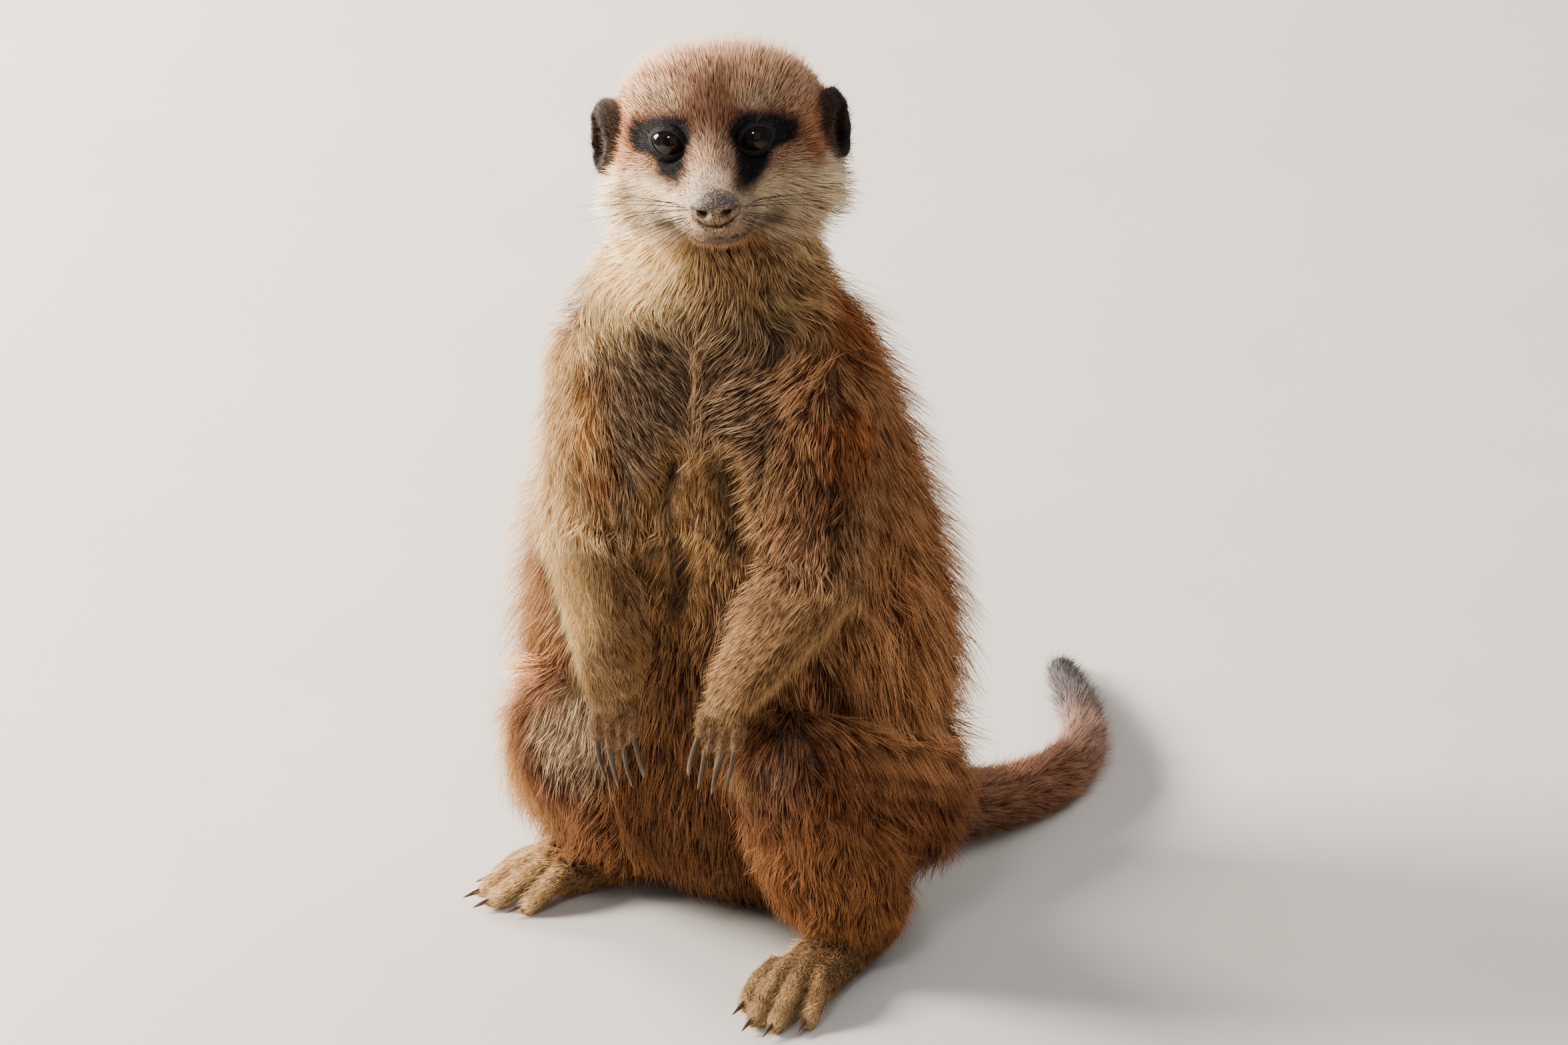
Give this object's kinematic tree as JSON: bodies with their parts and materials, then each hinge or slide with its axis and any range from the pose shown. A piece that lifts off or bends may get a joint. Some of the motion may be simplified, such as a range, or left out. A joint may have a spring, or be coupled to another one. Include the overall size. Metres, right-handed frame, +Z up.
{
  "type": "meerkat",
  "caption": "Life-size still meerkat sitting upright on its rump, forepaws hanging over its belly, head turned, tail laid on the floor.",
  "frame": {"origin": "under the middle of the animal's bounding box, on the floor that it sits on", "axes": "+Z up; the trunk faces -Y, so the animal's left is +X; the tail lies towards +Y"},
  "size_m": [0.1348, 0.232, 0.2548],
  "materials": {
    "eye": "wet, glossy dark brown eye",
    "nose_pad": "pebbled dark nose leather with dry sand on it",
    "dark_hair": "short black hair of the ears, and whiskers",
    "head_coat": "short grizzled fur, cream on cheeks and throat, black round the eyes",
    "body_coat": "long coarse fur, grey-brown on the chest and rufous on the flanks, with pale tips",
    "limb_coat": "short straw-tan to golden fur",
    "tail_coat": "short dense rufous fur with a dark tip",
    "claw": "smooth slate-grey horn, paler at the point"
  },
  "bodies": {
    "root": {"ear_left": "dark_hair", "ear_right": "dark_hair", "eye_left": "eye", "eye_right": "eye", "fore_claw_left_1": "claw", "fore_claw_left_2": "claw", "fore_claw_left_3": "claw", "fore_claw_left_4": "claw", "fore_claw_right_1": "claw", "fore_claw_right_2": "claw", "fore_claw_right_3": "claw", "fore_claw_right_4": "claw", "forearm_left": "limb_coat", "forearm_right": "limb_coat", "forepaw_left": "limb_coat", "forepaw_right": "limb_coat", "head": "head_coat", "hind_claw_left_1": "claw", "hind_claw_left_2": "claw", "hind_claw_left_3": "claw", "hind_claw_left_4": "claw", "hind_claw_right_1": "claw", "hind_claw_right_2": "claw", "hind_claw_right_3": "claw", "hind_claw_right_4": "claw", "hind_foot_left": "limb_coat", "hind_foot_right": "limb_coat", "neck": "body_coat", "nose": "nose_pad", "shank_left": "limb_coat", "shank_right": "limb_coat", "tail_base": "tail_coat", "tail_middle": "tail_coat", "tail_tip": "tail_coat", "thigh_left": "body_coat", "thigh_right": "body_coat", "trunk": "body_coat", "upper_arm_left": "body_coat", "upper_arm_right": "body_coat"}
  },
  "joints": []
}
